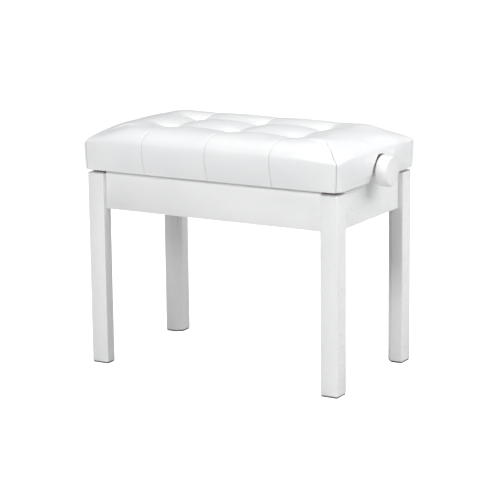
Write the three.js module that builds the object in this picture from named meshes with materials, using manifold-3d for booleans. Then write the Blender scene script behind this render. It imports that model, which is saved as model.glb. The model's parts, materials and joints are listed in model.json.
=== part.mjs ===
// Height-adjustable piano bench. Millimetres, +X along the length, -Y to the front, +Z up.
// The origin is on the floor under the middle of the bench, with the seat at its lowest height.
// Knobs on both ends turn a lead screw, whose nut draws the lower ends of a scissor lift together.

import * as THREE from 'three';
import { mergeVertices } from 'three/addons/utils/BufferGeometryUtils.js';
import Module from 'manifold-3d';

const wasm = await Module();
wasm.setup();

// ---- Driving dimensions ----

const GAP = 0.3; // between pieces that touch
const ROUND = 24; // sides of pins and holes

const LEGS_LENGTH = 550; // over the outer faces of the legs
const LEGS_DEPTH = 310;
const LEG_SIDE = 36;
const LEG_TOP = 385;
const LEG_EDGE = 1.2; // bevel on the ends of a leg
const GLIDE_HEIGHT = 2;
const GLIDE_INSET = 1;

const APRON_SETBACK = 9; // from the leg's face to the apron's
const APRON_THICKNESS = 15;
const APRON_BOTTOM = 313.5;
const APRON_TOP = 425;

const BRACE_THICKNESS = 21;
const BRACE_BOTTOM = 326;
const BRACE_TOP = 372;
const BOLT_RADIUS = 4;
const BOLT_DEPTH = 20; // into the leg
const BOLT_HEAD_RADIUS = 7.5;
const BOLT_HEAD_HEIGHT = 5;

const SEAT_LENGTH = 560; // over the cover at its bottom edge
const SEAT_DEPTH = 318;
const FLARE_X = 5; // how far the padded sides lean out by the top of the skirt
const FLARE_Y = 9;
const SKIRT_BOTTOM = 391;
const SKIRT_THICKNESS = 9;
const SKIRT_TOP = 446;
const SEAT_BOARD_THICKNESS = 15; // between the skirt boards, level with their tops
const COVER = 2.5; // cover with its thin backing
const CROWN = 478;
const SHOULDER = 22;
const SHOULDER_STEPS = 6;

const LIFT = 100;
const ARM_LENGTH = 300; // between end pivots
const ARM_WIDTH = 18;
const ARM_THICKNESS = 3;
const OUTER_ARM_Y = 99; // inner face of the arm
const INNER_ARM_Y = 94;
const LOWER_PIVOT_X = -150;
const LOWER_PIVOT_Z = 392;
const UPPER_PIVOT_Z = 418;
const PIN_RADIUS = 4;
const PIN_CLEARANCE = 0.4;
const PIN_HEAD_RADIUS = 6.5;
const PIN_HEAD_HEIGHT = 1.4;
const OPEN_PIVOT_RISE = 1.3; // extra height of the holes in the upper rails

const RAIL_LENGTH = 370;
const RAIL_Y = 105; // inner face of the upright flange
const RAIL_THICKNESS = 2.5;
const RAIL_REACH = 23; // width of the flat flange
const LOWER_RAIL_BOTTOM = 376;
const LOWER_RAIL_TOP = 402;
const UPPER_RAIL_BOTTOM = 406;
const CLEAT_LENGTH = 390;
const CLEAT_WIDTH = 18;
const CLEAT_HEIGHT = 24;

const SCREW_Z = 409;
const SCREW_RADIUS = 6;
const SCREW_CORE = 5;
const SCREW_PITCH = 3;
const THREAD_START = 105;
const THREAD_TURNS = 22;
const CROSSBAR_WIDTH = 8;
const CROSSBAR_HEIGHT = 15;
const CROSSBAR_BOTTOM = 384;
const NUT_SIZE = [16, 26, 20];
const COLLAR_LENGTH = 8;
const COLLAR_RADIUS = 11;
const BEARING_PLATE = [3, 56, 32];

const KNOB_RADIUS = 30;
const KNOB_INNER = 289; // x of the knob's back face
const KNOB_OUTER = 313;
const KNOB_RIM = 5;
const KNOB_DOME = 1;
const KNOB_HUB_RADIUS = 12;
const NOTCH_RADIUS = 32.5;
const NOTCH_Z = 408;

// ---- Worked-out positions ----

const legX = (LEGS_LENGTH - LEG_SIDE) / 2;
const legY = (LEGS_DEPTH - LEG_SIDE) / 2;
const apronX = LEGS_LENGTH / 2 - APRON_SETBACK; // outer faces
const apronY = LEGS_DEPTH / 2 - APRON_SETBACK;
const legChamfer = LEG_SIDE - APRON_SETBACK - APRON_THICKNESS; // flush with the aprons' inner faces
const skirtX = SEAT_LENGTH / 2 - COVER - GAP; // outer faces of the skirt boards
const skirtY = SEAT_DEPTH / 2 - COVER - GAP;
const seatBoardBottom = SKIRT_TOP - SEAT_BOARD_THICKNESS;
const boltZ = (BRACE_BOTTOM + BRACE_TOP) / 2;
const restAngle = Math.asin((UPPER_PIVOT_Z - LOWER_PIVOT_Z) / ARM_LENGTH);
const raisedAngle = Math.asin((UPPER_PIVOT_Z - LOWER_PIVOT_Z + LIFT) / ARM_LENGTH);
const slideX = LOWER_PIVOT_X + ARM_LENGTH * Math.cos(restAngle); // sliding pivots at rest
const slideTravel = ARM_LENGTH * (Math.cos(restAngle) - Math.cos(raisedAngle));
const holeRadius = PIN_RADIUS + PIN_CLEARANCE;

// ---- Finishes ----

const finishes = {
  lacquer: { color: 0xf1f1ef, roughness: 0.3, metalness: 0 },
  cover: { color: 0xf3f3f2, roughness: 0.42, metalness: 0 },
  plastic: { color: 0xf4f4f3, roughness: 0.22, metalness: 0 },
  glide: { color: 0x3a3a3c, roughness: 0.7, metalness: 0 },
  timber: { color: 0xc9ad82, roughness: 0.75, metalness: 0 },
  foam: { color: 0xe6dfc8, roughness: 0.95, metalness: 0 },
  steel: { color: 0x8d9094, roughness: 0.35, metalness: 1 },
  blackSteel: { color: 0x26272a, roughness: 0.5, metalness: 0.6 },
};

// ---- Helpers ----

function solid(geometry) {
  const bare = geometry.index ? geometry.toNonIndexed() : geometry.clone();
  bare.deleteAttribute('normal');
  bare.deleteAttribute('uv');
  const merged = mergeVertices(bare, 1e-4);
  return new wasm.Manifold(new wasm.Mesh({
    numProp: 3,
    vertProperties: new Float32Array(merged.attributes.position.array),
    triVerts: new Uint32Array(merged.index.array),
  }));
}

function geometryOf(manifold) {
  const mesh = manifold.getMesh();
  const geometry = new THREE.BufferGeometry();
  geometry.setAttribute('position', new THREE.BufferAttribute(mesh.vertProperties, 3));
  geometry.setIndex(new THREE.BufferAttribute(mesh.triVerts, 1));
  geometry.computeVertexNormals();
  return geometry;
}

function cut(geometry, ...tools) {
  return geometryOf(tools.reduce((body, tool) => body.subtract(solid(tool)), solid(geometry)));
}

function join(geometry, ...others) {
  return geometryOf(others.reduce((body, other) => body.add(solid(other)), solid(geometry)));
}

function box([x0, x1], [y0, y1], [z0, z1]) {
  const geometry = new THREE.BoxGeometry(x1 - x0, y1 - y0, z1 - z0);
  return geometry.translate((x0 + x1) / 2, (y0 + y1) / 2, (z0 + z1) / 2);
}

// A range on one side of the middle, in rising order.
function sided(side, near, far) {
  return side > 0 ? [near, far] : [-far, -near];
}

function outline(points) {
  return new THREE.Shape(points.map(([u, v]) => new THREE.Vector2(u, v)));
}

function roundHole(u, v, radius) {
  const hole = new THREE.Path();
  hole.absarc(u, v, radius, 0, 2 * Math.PI, true);
  return hole;
}

// A hole with half-round ends, open over the centres from u0 to u1 and from v0 to v1.
function oblongHole([u0, u1], [v0, v1], radius) {
  const hole = new THREE.Path();
  hole.absarc(u1, v1, radius, Math.PI / 2, 0, true);
  hole.absarc(u1, v0, radius, 0, -Math.PI / 2, true);
  hole.absarc(u0, v0, radius, -Math.PI / 2, -Math.PI, true);
  hole.absarc(u0, v1, radius, Math.PI, Math.PI / 2, true);
  hole.closePath();
  return hole;
}

function extrude(shape, depth, options = {}) {
  return new THREE.ExtrudeGeometry(shape, { depth, bevelEnabled: false, curveSegments: 6, ...options });
}

// The shape's axes are Y and Z.
function extrudeX(shape, [x0, x1]) {
  const turn = new THREE.Matrix4().makeBasis(
    new THREE.Vector3(0, 1, 0), new THREE.Vector3(0, 0, 1), new THREE.Vector3(1, 0, 0));
  return extrude(shape, x1 - x0).applyMatrix4(turn).translate(x0, 0, 0);
}

// The shape's axes are X and Z.
function extrudeY(shape, [y0, y1]) {
  return extrude(shape, y1 - y0).rotateX(Math.PI / 2).translate(0, y1, 0);
}

function rodY(radius, [y0, y1], x = 0, z = 0) {
  const rod = new THREE.CylinderGeometry(radius, radius, y1 - y0, ROUND);
  return rod.translate(x, (y0 + y1) / 2, z);
}

function rodX(radius, [x0, x1], z = 0) {
  const rod = new THREE.CylinderGeometry(radius, radius, x1 - x0, ROUND);
  return rod.rotateZ(-Math.PI / 2).translate((x0 + x1) / 2, 0, z);
}

// A profile of [x, radius] points turned about the X axis.
function turnedX(profile, sides = ROUND) {
  const points = profile.map(([x, radius]) => new THREE.Vector2(radius, x));
  return new THREE.LatheGeometry(points, sides).rotateZ(-Math.PI / 2);
}

function place(group, name, geometry, finish) {
  const mesh = new THREE.Mesh(geometry, new THREE.MeshStandardMaterial(finishes[finish]));
  mesh.name = name;
  group.add(mesh);
  return mesh;
}

const ends = [['left', -1], ['right', 1]];
const sides = [['front', -1], ['rear', 1]];
const corners = sides.flatMap(([side, sy]) => ends.map(([end, sx]) => [`${side}_${end}`, sx, sy]));

// ---- Base ----

// The square of a leg about its own middle, with the corner that faces the bench's middle cut off.
function legOutline(sx, sy, side, chamfer) {
  const h = side / 2;
  return outline([
    [sx * h, sy * h], [-sx * h, sy * h], [-sx * h, -sy * (h - chamfer)],
    [-sx * (h - chamfer), -sy * h], [sx * h, -sy * h],
  ]);
}

// The bolt's hole and the bolt point outwards along the corner's diagonal from the leg's cut corner.
function onDiagonal(geometry, sx, sy) {
  const middle = LEG_SIDE / 2 - legChamfer / 2;
  const angle = Math.atan2(sy, sx);
  return geometry.rotateZ(angle).translate(sx * (legX - middle), sy * (legY - middle), boltZ);
}

function leg(sx, sy) {
  const bevel = {
    bevelEnabled: true, bevelSize: LEG_EDGE, bevelOffset: -LEG_EDGE, bevelThickness: LEG_EDGE, bevelSegments: 1,
  };
  const length = LEG_TOP - GLIDE_HEIGHT - 2 * LEG_EDGE;
  const post = extrude(legOutline(sx, sy, LEG_SIDE, legChamfer), length, bevel);
  post.translate(sx * legX, sy * legY, GLIDE_HEIGHT + LEG_EDGE);
  return cut(post, onDiagonal(rodX(BOLT_RADIUS + GAP, [-5, BOLT_DEPTH + 1]), sx, sy));
}

function glide(sx, sy) {
  const side = LEG_SIDE - 2 * GLIDE_INSET;
  return extrude(legOutline(sx, sy, side, legChamfer), GLIDE_HEIGHT - GAP).translate(sx * legX, sy * legY, 0);
}

function longApron(sy) {
  const half = LEGS_LENGTH / 2 - LEG_SIDE - GAP;
  return box([-half, half], sided(sy, apronY - APRON_THICKNESS, apronY), [APRON_BOTTOM, APRON_TOP]);
}

function endApron(sx) {
  const half = LEGS_DEPTH / 2 - LEG_SIDE - GAP;
  const board = outline([[-half, APRON_BOTTOM], [half, APRON_BOTTOM], [half, APRON_TOP], [-half, APRON_TOP]]);
  board.holes.push(roundHole(0, SCREW_Z, SCREW_RADIUS + 2));
  return extrudeX(board, sided(sx, apronX - APRON_THICKNESS, apronX));
}

// A block across the corner, flat against both aprons and against the leg's cut corner.
function cornerBrace(sx, sy) {
  const x = apronX - APRON_THICKNESS - GAP;
  const y = apronY - APRON_THICKNESS - GAP;
  const front = legChamfer;
  const back = front + BRACE_THICKNESS * Math.SQRT2;
  const block = outline([
    [sx * x, sy * (y - front)], [sx * (x - front), sy * y], [sx * (x - back), sy * y], [sx * x, sy * (y - back)],
  ]);
  const geometry = extrude(block, BRACE_TOP - BRACE_BOTTOM).translate(0, 0, BRACE_BOTTOM);
  return cut(geometry, onDiagonal(rodX(BOLT_RADIUS + GAP, [-2 * BRACE_THICKNESS, 5]), sx, sy));
}

function legBolt(sx, sy) {
  const back = -(BRACE_THICKNESS + 2 * GAP + 0.2);
  const shank = rodX(BOLT_RADIUS, [back - 1, BOLT_DEPTH]);
  const head = new THREE.CylinderGeometry(BOLT_HEAD_RADIUS, BOLT_HEAD_RADIUS, BOLT_HEAD_HEIGHT, 6);
  head.rotateZ(Math.PI / 2).translate(back - BOLT_HEAD_HEIGHT / 2, 0, 0);
  return onDiagonal(join(shank, head), sx, sy);
}

function cleat(sy) {
  const y = apronY - APRON_THICKNESS - GAP;
  const top = LOWER_RAIL_BOTTOM - GAP;
  return box([-CLEAT_LENGTH / 2, CLEAT_LENGTH / 2], sided(sy, y - CLEAT_WIDTH, y), [top - CLEAT_HEIGHT, top]);
}

// An angle rail: an upright flange that carries the pivots and a flat flange that is screwed down.
function angleRail(sy, [z0, z1], flatZ, holes) {
  const half = RAIL_LENGTH / 2;
  const flange = outline([[-half, z0], [half, z0], [half, z1], [-half, z1]]);
  flange.holes.push(...holes);
  const upright = extrudeY(flange, sided(sy, RAIL_Y, RAIL_Y + RAIL_THICKNESS));
  const flat = box([-half, half], sided(sy, RAIL_Y, RAIL_Y + RAIL_REACH), [flatZ, flatZ + RAIL_THICKNESS]);
  return join(upright, flat);
}

function lowerRail(sy) {
  const slot = [slideX - slideTravel - 1, slideX + 1];
  return angleRail(sy, [LOWER_RAIL_BOTTOM, LOWER_RAIL_TOP], LOWER_RAIL_BOTTOM, [
    roundHole(LOWER_PIVOT_X, LOWER_PIVOT_Z, holeRadius),
    oblongHole(slot, [LOWER_PIVOT_Z, LOWER_PIVOT_Z], holeRadius),
  ]);
}

function bearingPlate(sx) {
  const [thickness, width, height] = BEARING_PLATE;
  const z0 = APRON_TOP - 1 - height;
  const plate = outline([[-width / 2, z0], [width / 2, z0], [width / 2, z0 + height], [-width / 2, z0 + height]]);
  plate.holes.push(roundHole(0, SCREW_Z, SCREW_RADIUS + PIN_CLEARANCE));
  const face = apronX - APRON_THICKNESS - GAP;
  return extrudeX(plate, sided(sx, face - thickness, face));
}

function makeBase() {
  const base = new THREE.Group();
  for (const [corner, sx, sy] of corners) {
    place(base, `leg_${corner}`, leg(sx, sy), 'lacquer');
    place(base, `glide_${corner}`, glide(sx, sy), 'glide');
    place(base, `corner_brace_${corner}`, cornerBrace(sx, sy), 'timber');
    place(base, `leg_bolt_${corner}`, legBolt(sx, sy), 'steel');
  }
  for (const [side, sy] of sides) {
    place(base, `apron_${side}`, longApron(sy), 'lacquer');
    place(base, `cleat_${side}`, cleat(sy), 'timber');
    place(base, `lower_rail_${side}`, lowerRail(sy), 'blackSteel');
  }
  for (const [end, sx] of ends) {
    place(base, `apron_${end}`, endApron(sx), 'lacquer');
    place(base, `bearing_plate_${end}`, bearingPlate(sx), 'steel');
  }
  const reach = RAIL_Y + RAIL_THICKNESS + 3;
  const rod = place(base, 'lower_pivot_rod', rodY(PIN_RADIUS, [-reach, reach]), 'steel');
  rod.position.set(LOWER_PIVOT_X, 0, LOWER_PIVOT_Z);
  return base;
}

// ---- Scissor lift ----

// An arm along +X from its first pivot, in the XZ plane.
function arm(sy, y) {
  const r = ARM_WIDTH / 2;
  const strip = new THREE.Shape();
  strip.absarc(0, 0, r, Math.PI / 2, 1.5 * Math.PI, false);
  strip.absarc(ARM_LENGTH, 0, r, -Math.PI / 2, Math.PI / 2, false);
  strip.closePath();
  for (const u of [0, ARM_LENGTH / 2, ARM_LENGTH]) strip.holes.push(roundHole(u, 0, holeRadius));
  return extrudeY(strip, sided(sy, y, y + ARM_THICKNESS));
}

function headedPin(sy, [near, far], [headNear, headFar]) {
  return join(rodY(PIN_RADIUS, sided(sy, near, far)), rodY(PIN_HEAD_RADIUS, sided(sy, headNear, headFar)));
}

// A rivet through both arms, with a head on each side.
function centreRivet(sy) {
  const near = INNER_ARM_Y - GAP - PIN_HEAD_HEIGHT;
  const far = OUTER_ARM_Y + ARM_THICKNESS + GAP + PIN_HEAD_HEIGHT;
  const outerHead = rodY(PIN_HEAD_RADIUS, sided(sy, far - PIN_HEAD_HEIGHT, far));
  return join(headedPin(sy, [near, far], [near, near + PIN_HEAD_HEIGHT]), outerHead);
}

function makeOuterArms() {
  const arms = new THREE.Group();
  arms.position.set(LOWER_PIVOT_X, 0, LOWER_PIVOT_Z);
  arms.rotation.y = -restAngle;
  const pinEnd = RAIL_Y + RAIL_THICKNESS + 3;
  const headEnd = OUTER_ARM_Y - GAP;
  for (const [side, sy] of sides) {
    place(arms, `outer_arm_${side}`, arm(sy, OUTER_ARM_Y), 'blackSteel');
    place(arms, `centre_rivet_${side}`, centreRivet(sy), 'steel').position.x = ARM_LENGTH / 2;
    const pin = headedPin(sy, [headEnd - PIN_HEAD_HEIGHT, pinEnd], [headEnd - PIN_HEAD_HEIGHT, headEnd]);
    place(arms, `upper_slide_pin_${side}`, pin, 'steel').position.x = ARM_LENGTH;
  }
  return arms;
}

function makeInnerArms() {
  const arms = new THREE.Group();
  arms.position.set(LOWER_PIVOT_X, 0, UPPER_PIVOT_Z);
  arms.rotation.y = restAngle;
  const pinEnd = RAIL_Y + RAIL_THICKNESS + 3;
  const headEnd = INNER_ARM_Y - GAP;
  for (const [side, sy] of sides) {
    place(arms, `inner_arm_${side}`, arm(sy, INNER_ARM_Y), 'blackSteel');
    const pin = headedPin(sy, [headEnd - PIN_HEAD_HEIGHT, pinEnd], [headEnd - PIN_HEAD_HEIGHT, headEnd]);
    place(arms, `upper_pivot_pin_${side}`, pin, 'steel');
  }
  return arms;
}

// The bar between the arms' sliding lower ends, with a journal at each end.
function crossbar() {
  const half = INNER_ARM_Y - 1;
  const reach = RAIL_Y + RAIL_THICKNESS + 3;
  const bar = box([-CROSSBAR_WIDTH / 2, CROSSBAR_WIDTH / 2], [-half, half],
    [CROSSBAR_BOTTOM, CROSSBAR_BOTTOM + CROSSBAR_HEIGHT]);
  return join(bar, rodY(PIN_RADIUS, [-reach, reach], 0, LOWER_PIVOT_Z));
}

function leadNut() {
  const [length, width, height] = NUT_SIZE;
  const bottom = CROSSBAR_BOTTOM + CROSSBAR_HEIGHT + GAP;
  const block = box([-length / 2, length / 2], [-width / 2, width / 2], [bottom, bottom + height]);
  return cut(block, rodX(SCREW_RADIUS + PIN_CLEARANCE, [-length, length], SCREW_Z));
}

function makeCarriage() {
  const carriage = new THREE.Group();
  carriage.position.x = slideX;
  place(carriage, 'crossbar', crossbar(), 'blackSteel');
  place(carriage, 'lead_nut', leadNut(), 'steel');
  return carriage;
}

// ---- Lead screw and knobs, about their own axis ----

function leadScrew() {
  const end = KNOB_OUTER - 12;
  const profile = [[-end, 0], [-end, SCREW_RADIUS], [THREAD_START, SCREW_RADIUS]];
  for (let turn = 0; turn < THREAD_TURNS; turn += 1) {
    const x = THREAD_START + turn * SCREW_PITCH;
    profile.push([x + 0.3 * SCREW_PITCH, SCREW_CORE], [x + 0.5 * SCREW_PITCH, SCREW_CORE]);
    profile.push([x + 0.8 * SCREW_PITCH, SCREW_RADIUS], [x + SCREW_PITCH, SCREW_RADIUS]);
  }
  profile.push([end, SCREW_RADIUS], [end, 0]);
  return turnedX(profile, ROUND / 2);
}

function collar(sx) {
  const [x0, x1] = sided(sx, 0, COLLAR_LENGTH);
  const bore = SCREW_RADIUS + PIN_CLEARANCE;
  const ring = [[x0, bore], [x0, COLLAR_RADIUS], [x1, COLLAR_RADIUS], [x1, bore], [x0, bore]];
  return turnedX(ring);
}

// The grip with its rounded rim and low dome, and the hub that reaches in to the end apron.
function knob() {
  const profile = [[apronX + 2, 0], [apronX + 2, KNOB_HUB_RADIUS], [KNOB_INNER, KNOB_HUB_RADIUS]];
  profile.push([KNOB_INNER, KNOB_RADIUS - 2], [KNOB_INNER + 2, KNOB_RADIUS]);
  const rimX = KNOB_OUTER - KNOB_DOME - KNOB_RIM;
  for (let step = 0; step <= 4; step += 1) {
    const angle = step * Math.PI / 8;
    profile.push([rimX + KNOB_RIM * Math.sin(angle), KNOB_RADIUS - KNOB_RIM * (1 - Math.cos(angle))]);
  }
  profile.push([KNOB_OUTER, KNOB_RADIUS / 3], [KNOB_OUTER, 0]);
  const bore = rodX(SCREW_RADIUS + GAP, [apronX, KNOB_OUTER - 11]);
  return cut(turnedX(profile, 2 * ROUND), bore);
}

function makeScrew() {
  const screw = new THREE.Group();
  screw.position.z = SCREW_Z;
  place(screw, 'lead_screw', leadScrew(), 'steel');
  const collarX = apronX - APRON_THICKNESS - 2 * GAP - BEARING_PLATE[0] - COLLAR_LENGTH;
  for (const [end, sx] of ends) {
    place(screw, `thrust_collar_${end}`, collar(sx), 'steel').position.x = sx * collarX;
    const grip = place(screw, `knob_${end}`, knob(), 'plastic');
    if (sx < 0) grip.rotation.z = Math.PI;
  }
  return screw;
}

// ---- Seat ----

// A block through level rectangles, each given by its half-sides and its height.
function stack(rings) {
  const positions = rings.flatMap(([x, y, z]) => [-x, -y, z, x, -y, z, x, y, z, -x, y, z]);
  const index = [];
  for (let ring = 0; ring + 1 < rings.length; ring += 1) {
    for (let corner = 0; corner < 4; corner += 1) {
      const a = 4 * ring + corner;
      const b = 4 * ring + (corner + 1) % 4;
      index.push(a, b, b + 4, a, b + 4, a + 4);
    }
  }
  const last = 4 * (rings.length - 1);
  index.push(0, 2, 1, 0, 3, 2, last, last + 1, last + 2, last, last + 2, last + 3);
  const geometry = new THREE.BufferGeometry();
  geometry.setAttribute('position', new THREE.Float32BufferAttribute(positions, 3));
  geometry.setIndex(index);
  return geometry;
}

// The cushion above the skirt with its rounded shoulders, drawn in by the inset.
function cushion(bottom, inset) {
  const x = SEAT_LENGTH / 2 + FLARE_X - inset;
  const y = SEAT_DEPTH / 2 + FLARE_Y - inset;
  const radius = SHOULDER - inset;
  const rings = [[x, y, bottom]];
  for (let step = 0; step <= SHOULDER_STEPS; step += 1) {
    const angle = (step / SHOULDER_STEPS) * (Math.PI / 2);
    const draw = radius * (1 - Math.cos(angle));
    rings.push([x - draw, y - draw, CROWN - inset - radius * (1 - Math.sin(angle))]);
  }
  return stack(rings);
}

function coverTop() {
  return cut(cushion(SKIRT_TOP + GAP, 0), cushion(SKIRT_TOP - 5, COVER));
}

// One padded side of the cover, between its mitred corners. turn is the side's place round the seat.
function coverSide(turn) {
  const x = skirtX + GAP;
  const y = skirtY + GAP;
  const near = turn % 2 ? x : y;
  const half = (turn % 2 ? y : x) - GAP;
  const reach = COVER + FLARE_Y + 5;
  const sector = outline([
    [half, near], [half + reach, near + reach], [-half - reach, near + reach], [-half, near],
  ]);
  const wedge = extrude(sector, SKIRT_TOP).rotateZ(turn * Math.PI / 2);
  const flared = stack([
    [SEAT_LENGTH / 2, SEAT_DEPTH / 2, SKIRT_BOTTOM],
    [SEAT_LENGTH / 2 + FLARE_X, SEAT_DEPTH / 2 + FLARE_Y, SKIRT_TOP],
  ]);
  return geometryOf(solid(wedge).intersect(solid(flared)));
}

// A front or rear skirt board, its ends cut back at 45 degrees under the cover's rounded corners.
function longSkirt(sy, [bottom, top]) {
  const inner = sy * (skirtY - SKIRT_THICKNESS);
  const outer = sy * skirtY;
  const outerHalf = skirtX - SKIRT_THICKNESS;
  const board = outline([[-skirtX, inner], [skirtX, inner], [outerHalf, outer], [-outerHalf, outer]]);
  return extrude(board, top - bottom).translate(0, 0, bottom);
}

// What the arch in an end panel takes out, open at the bottom.
function arch() {
  const hole = new THREE.Shape();
  hole.moveTo(NOTCH_RADIUS, SKIRT_BOTTOM - 5);
  hole.lineTo(-NOTCH_RADIUS, SKIRT_BOTTOM - 5);
  hole.absarc(0, NOTCH_Z, NOTCH_RADIUS, Math.PI, 0, true);
  hole.closePath();
  return extrudeX(hole, [-SEAT_LENGTH, SEAT_LENGTH]);
}

function upperRail(sy) {
  const slot = [slideX - slideTravel - 1, slideX + 1];
  const rise = [UPPER_PIVOT_Z, UPPER_PIVOT_Z + OPEN_PIVOT_RISE];
  const top = seatBoardBottom - GAP;
  return angleRail(sy, [UPPER_RAIL_BOTTOM, top], top - RAIL_THICKNESS, [
    oblongHole([LOWER_PIVOT_X, LOWER_PIVOT_X], rise, holeRadius),
    oblongHole(slot, rise, holeRadius),
  ]);
}

function makeSeat() {
  const seat = new THREE.Group();
  const innerX = skirtX - SKIRT_THICKNESS;
  const innerY = skirtY - SKIRT_THICKNESS - GAP;
  const skirtZ = [SKIRT_BOTTOM + 0.5, SKIRT_TOP];
  const board = box([GAP - innerX, innerX - GAP], [-innerY, innerY], [seatBoardBottom, SKIRT_TOP]);
  place(seat, 'seat_board', board, 'timber');
  place(seat, 'foam_pad', cushion(SKIRT_TOP + GAP, COVER + GAP), 'foam');
  place(seat, 'cover_top', coverTop(), 'cover');
  for (const [side, sy] of sides) {
    place(seat, `skirt_${side}`, longSkirt(sy, skirtZ), 'timber');
    place(seat, `cover_${side}`, coverSide(1 - sy), 'cover');
    place(seat, `upper_rail_${side}`, upperRail(sy), 'blackSteel');
  }
  for (const [end, sx] of ends) {
    const skirt = box(sided(sx, innerX, skirtX), [-innerY, innerY], skirtZ);
    place(seat, `skirt_${end}`, cut(skirt, arch()), 'timber');
    place(seat, `cover_${end}`, cut(coverSide(2 + sx), arch()), 'cover');
  }
  return seat;
}

const bench = new THREE.Group();
bench.add(makeBase(), makeOuterArms(), makeInnerArms(), makeCarriage(), makeScrew(), makeSeat());

export default bench;
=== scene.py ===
"""Looks of a white height-adjustable piano bench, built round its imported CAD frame. Metres."""

import json
import math

import bmesh
import bpy
import numpy as np
from mathutils import Matrix, Vector


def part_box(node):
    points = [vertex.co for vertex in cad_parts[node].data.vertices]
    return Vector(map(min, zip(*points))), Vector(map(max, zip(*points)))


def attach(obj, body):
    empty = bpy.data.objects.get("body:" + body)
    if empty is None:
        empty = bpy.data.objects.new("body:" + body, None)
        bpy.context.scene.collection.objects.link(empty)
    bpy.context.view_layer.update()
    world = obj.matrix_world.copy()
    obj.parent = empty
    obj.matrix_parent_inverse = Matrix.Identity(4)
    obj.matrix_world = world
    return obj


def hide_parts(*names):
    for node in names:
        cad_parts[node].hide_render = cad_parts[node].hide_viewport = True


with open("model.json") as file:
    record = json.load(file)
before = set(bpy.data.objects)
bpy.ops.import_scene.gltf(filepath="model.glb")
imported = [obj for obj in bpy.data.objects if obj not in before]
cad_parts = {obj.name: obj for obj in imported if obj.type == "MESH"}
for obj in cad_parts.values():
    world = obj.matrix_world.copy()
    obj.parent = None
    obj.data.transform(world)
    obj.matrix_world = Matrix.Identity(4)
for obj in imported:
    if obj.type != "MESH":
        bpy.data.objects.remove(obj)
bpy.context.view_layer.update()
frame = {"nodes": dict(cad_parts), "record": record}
scene = bpy.context.scene

# ---- Camera ----

CAMERA_AZIMUTH = math.radians(30.15)
CAMERA_ELEVATION = math.radians(12.63)
CAMERA_ROLL = math.radians(0.60)
CAMERA_DISTANCE = 3.994
CAMERA_HEIGHT = 0.2257  # where its axis crosses the bench's upright middle line
CAMERA_LENS = 145.94  # mm, on the default 36 mm sensor


def make_camera():
    """A long lens from the right front, a little above the seat, rolled by a fraction of a degree."""
    a, e, r = CAMERA_AZIMUTH, CAMERA_ELEVATION, CAMERA_ROLL
    back = Vector((math.sin(a) * math.cos(e), -math.cos(a) * math.cos(e), math.sin(e)))
    right = (-back).cross(Vector((0, 0, 1))).normalized()
    up = back.cross(right)
    turned_right = math.cos(r) * right - math.sin(r) * up
    turned_up = math.sin(r) * right + math.cos(r) * up
    data = bpy.data.cameras.new("camera")
    data.lens = CAMERA_LENS
    data.clip_end = 50
    camera = bpy.data.objects.new("camera", data)
    place = Matrix((turned_right, turned_up, back)).transposed().to_4x4()
    place.translation = Vector((0, 0, CAMERA_HEIGHT)) + CAMERA_DISTANCE * back
    camera.matrix_world = place
    scene.collection.objects.link(camera)
    scene.camera = camera


make_camera()

# ---- Materials ----


def new_material(name, rough, metallic=0.0, **sockets):
    """A material with its shader and a coordinate node in the row frame's metres."""
    material = bpy.data.materials.new(name)
    material.use_nodes = True
    nodes = material.node_tree.nodes
    shader = nodes["Principled BSDF"]
    shader.inputs["Roughness"].default_value = rough
    shader.inputs["Metallic"].default_value = metallic
    for socket, value in sockets.items():
        shader.inputs[socket.replace("_", " ")].default_value = value
    place = nodes.new("ShaderNodeTexCoord")
    return material, nodes, material.node_tree.links, shader, place.outputs["Object"]


def noise(nodes, links, place, scale, detail=3.0, stretch=(1, 1, 1)):
    """Noise of that many features a metre, stretched along an axis where its factor is below 1."""
    mapping = nodes.new("ShaderNodeMapping")
    mapping.inputs["Scale"].default_value = stretch
    links.new(place, mapping.inputs["Vector"])
    texture = nodes.new("ShaderNodeTexNoise")
    texture.inputs["Scale"].default_value = scale
    texture.inputs["Detail"].default_value = detail
    links.new(mapping.outputs["Vector"], texture.inputs["Vector"])
    return texture.outputs["Fac"]


def spread(nodes, links, value, low, high, start=0.35, end=0.65):
    """The value's middle range mapped to low..high."""
    remap = nodes.new("ShaderNodeMapRange")
    remap.inputs["From Min"].default_value = start
    remap.inputs["From Max"].default_value = end
    remap.inputs["To Min"].default_value = low
    remap.inputs["To Max"].default_value = high
    links.new(value, remap.inputs["Value"])
    return remap.outputs["Result"]


def tint(nodes, links, shader, value, dark, light):
    """Base colour between two close tones."""
    mix = nodes.new("ShaderNodeMix")
    mix.data_type = "RGBA"
    mix.inputs["A"].default_value = (*dark, 1)
    mix.inputs["B"].default_value = (*light, 1)
    links.new(value, mix.inputs["Factor"])
    links.new(mix.outputs["Result"], shader.inputs["Base Color"])


def bump(nodes, links, shader, height, distance, strength=1.0, under=None):
    """Surface relief of that depth in metres, on top of another bump if one is given."""
    node = nodes.new("ShaderNodeBump")
    node.inputs["Distance"].default_value = distance
    node.inputs["Strength"].default_value = strength
    links.new(height, node.inputs["Height"])
    if under is not None:
        links.new(under, node.inputs["Normal"])
    links.new(node.outputs["Normal"], shader.inputs["Normal"])
    return node.outputs["Normal"]


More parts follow.
